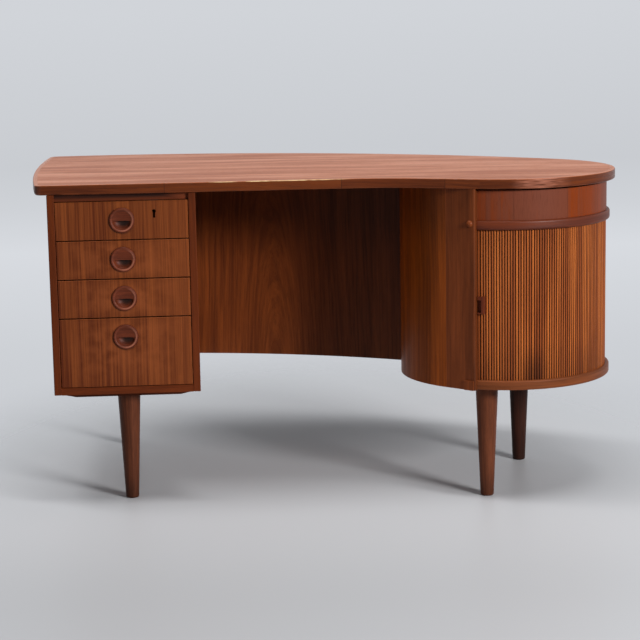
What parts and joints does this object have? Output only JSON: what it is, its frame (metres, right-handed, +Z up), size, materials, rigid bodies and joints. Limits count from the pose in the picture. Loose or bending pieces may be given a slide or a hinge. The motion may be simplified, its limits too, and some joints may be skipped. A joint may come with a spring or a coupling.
{
  "type": "writing desk",
  "caption": "Kidney-shaped teak writing desk with a bowed top, a drawer pedestal with round scooped pulls, a round tambour cabinet and tapered legs.",
  "frame": {"origin": "on the floor under the middle of the top's bounding box", "axes": "+X to the sitter's right along the length, +Y away from the sitter, +Z up"},
  "size_m": [1.365, 0.7843, 0.73],
  "materials": {
    "top_veneer": "oiled",
    "lipping": "oiled",
    "carcass": "oiled",
    "batten": "oiled",
    "dark_rail": "oiled",
    "box_wood": "oiled",
    "kneehole": "oiled",
    "bent_panel": "oiled",
    "post": "oiled",
    "cap": "oiled",
    "cabinet_board": "oiled",
    "frieze": "oiled",
    "rim": "oiled",
    "bead": "oiled",
    "tambour": "oiled",
    "door_pull": "oiled",
    "drawer_front": "oiled",
    "pull": "oiled",
    "leg": "oiled",
    "canvas": "woven",
    "lock": "dull"
  },
  "bodies": {
    "carcass": {"desk_top": "top_veneer", "top_lipping_front": "lipping", "top_lipping_end": "lipping", "top_lipping_back": "lipping", "top_lipping_left": "lipping", "pedestal_outer_side": "carcass", "pedestal_inner_side": "carcass", "pedestal_back": "carcass", "pedestal_bottom": "carcass", "pedestal_battens": "batten", "pedestal_rail": "dark_rail", "drawer_runners": "box_wood", "kneehole_panel": "kneehole", "bay_bottom": "carcass", "bay_shelf": "carcass", "cabinet_panel": "bent_panel", "front_post": "post", "rear_post": "post", "post_cap": "cap", "post_foot_block": "cap", "cabinet_base": "cabinet_board", "track_board": "cabinet_board", "frieze": "frieze", "cap_board": "dark_rail", "cabinet_liner": "cabinet_board", "cabinet_shelf": "cabinet_board", "base_rim": "rim", "bead_rail": "bead", "leg_front_left": "leg", "leg_rear_left": "leg", "leg_front_right": "leg", "leg_rear_right": "leg"},
    "drawer_1": {"drawer_1_front": "drawer_front", "drawer_1_pull": "pull", "drawer_1_sides": "box_wood", "drawer_1_back": "box_wood", "drawer_1_bottom": "box_wood", "lock_body": "lock"},
    "drawer_2": {"drawer_2_front": "drawer_front", "drawer_2_pull": "pull", "drawer_2_sides": "box_wood", "drawer_2_back": "box_wood", "drawer_2_bottom": "box_wood"},
    "drawer_3": {"drawer_3_front": "drawer_front", "drawer_3_pull": "pull", "drawer_3_sides": "box_wood", "drawer_3_back": "box_wood", "drawer_3_bottom": "box_wood"},
    "drawer_4": {"drawer_4_front": "drawer_front", "drawer_4_pull": "pull", "drawer_4_sides": "box_wood", "drawer_4_back": "box_wood", "drawer_4_bottom": "box_wood"},
    "lock_bolt": {"lock_bolt": "lock"},
    "tambour": {"tambour_canvas": "canvas", "tambour_stile": "tambour", "tambour_slats": "tambour", "tambour_pull": "door_pull"}
  },
  "joints": [
    {"name": "drawer_1_slide", "type": "slide", "parent": "carcass", "child": "drawer_1", "axis": [0.0628, -0.998, 0], "range_m": [0, 0.4]},
    {"name": "drawer_2_slide", "type": "slide", "parent": "carcass", "child": "drawer_2", "axis": [0.0628, -0.998, 0], "range_m": [0, 0.4]},
    {"name": "drawer_3_slide", "type": "slide", "parent": "carcass", "child": "drawer_3", "axis": [0.0628, -0.998, 0], "range_m": [0, 0.4]},
    {"name": "drawer_4_slide", "type": "slide", "parent": "carcass", "child": "drawer_4", "axis": [0.0628, -0.998, 0], "range_m": [0, 0.4]},
    {"name": "lock_bolt_slide", "type": "slide", "parent": "drawer_1", "child": "lock_bolt", "axis": [0, 0, 1], "range_m": [0, 0.008]},
    {"name": "tambour_turn", "type": "hinge", "parent": "carcass", "child": "tambour", "pos_m": [0.4305, -0.14019, 0.45], "axis": [0, 0, 1], "range_deg": [0, 165]}
  ]
}
